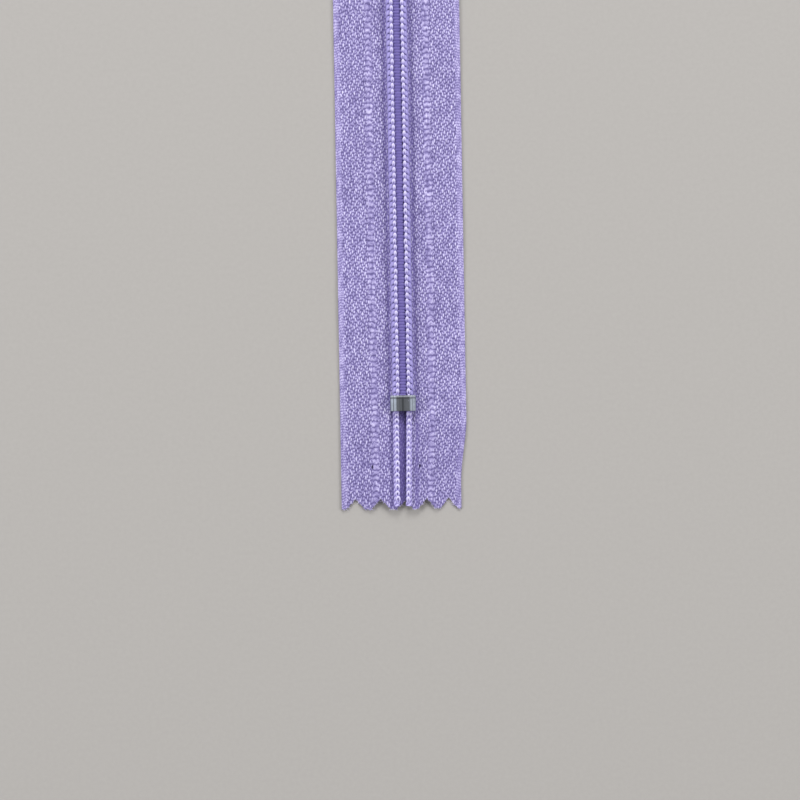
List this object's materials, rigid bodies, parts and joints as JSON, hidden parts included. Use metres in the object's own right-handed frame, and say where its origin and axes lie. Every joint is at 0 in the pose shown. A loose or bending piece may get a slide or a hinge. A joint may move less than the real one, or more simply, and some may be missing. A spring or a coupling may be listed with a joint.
{
  "type": "zipper",
  "caption": "Closed-end nylon coil zipper with woven tapes, metal stops, pinked ends and an auto-locking slider with pull tab, shown closed.",
  "frame": {"origin": "on the surface that the tapes lie on, below the middle of the zipper's length and width", "axes": "+Y along the chain from the bottom stop to the top stops, +Z out of the face, +X to the right seen from the face"},
  "size_m": [0.0254, 0.2224, 0.0066],
  "materials": {
    "tape": "woven herringbone polyester",
    "coil": "dyed nylon monofilament",
    "cord": "braided polyester",
    "thread": "polyester sewing thread",
    "stop_metal": "rolled, pressed",
    "slider_lacquer": "semi-gloss lacquer",
    "spring_steel": "bright"
  },
  "bodies": {
    "lower_end": {"bottom_stop": "stop_metal", "left_tape_end": "tape", "left_coil_end": "coil", "left_core_cord_end": "cord", "left_chain_stitches_end": "thread", "left_needle_thread_end": "thread", "right_tape_end": "tape", "right_coil_end": "coil", "right_core_cord_end": "cord", "right_chain_stitches_end": "thread", "right_needle_thread_end": "thread"},
    "left_side": {"left_tape": "tape", "left_coil": "coil", "left_core_cord": "cord", "left_chain_stitches": "thread", "left_needle_thread": "thread", "left_top_stop": "stop_metal"},
    "right_side": {"right_tape": "tape", "right_coil": "coil", "right_core_cord": "cord", "right_chain_stitches": "thread", "right_needle_thread": "thread", "right_top_stop": "stop_metal"},
    "slider": {"slider_body": "slider_lacquer", "slider_cover": "slider_lacquer", "pawl_spring": "spring_steel"},
    "lock_pawl": {"lock_pawl": "spring_steel"},
    "pull_tab": {"pull_tab": "slider_lacquer"}
  },
  "joints": [
    {"name": "slider_travel", "type": "slide", "parent": "lower_end", "child": "slider", "axis": [0, -1, 0], "range_m": [0, 0.16225], "deforming": ["left_tape", "left_tape_end", "left_coil", "left_coil_end", "left_core_cord", "left_core_cord_end", "left_chain_stitches", "left_chain_stitches_end", "left_needle_thread", "left_needle_thread_end", "right_tape", "right_tape_end", "right_coil", "right_coil_end", "right_core_cord", "right_core_cord_end", "right_chain_stitches", "right_chain_stitches_end", "right_needle_thread", "right_needle_thread_end"]},
    {"name": "left_side_swing", "type": "hinge", "parent": "lower_end", "child": "left_side", "pos_m": [0, -0.086, 0], "axis": [0, 0, 1], "range_deg": [0, 12]},
    {"name": "right_side_swing", "type": "hinge", "parent": "lower_end", "child": "right_side", "pos_m": [0, -0.086, 0], "axis": [0, 0, -1], "range_deg": [0, 12]},
    {"name": "pull_swing", "type": "hinge", "parent": "slider", "child": "pull_tab", "pos_m": [0, 0.07852, 0.00483], "axis": [-1, 0, 0], "range_deg": [0, 185]},
    {"name": "pawl_lift", "type": "hinge", "parent": "slider", "child": "lock_pawl", "pos_m": [0, 0.08102, 0.00467], "axis": [-1, 0, 0], "range_deg": [0, 4], "stiffness_Nm_per_rad": 0.002, "springref_deg": -11.46, "deforming": ["pawl_spring"]}
  ],
  "couplings": [
    {"joint": "left_side_swing", "follows": "slider_travel", "rad_per_m": 1.2908},
    {"joint": "right_side_swing", "follows": "slider_travel", "rad_per_m": 1.2908}
  ]
}
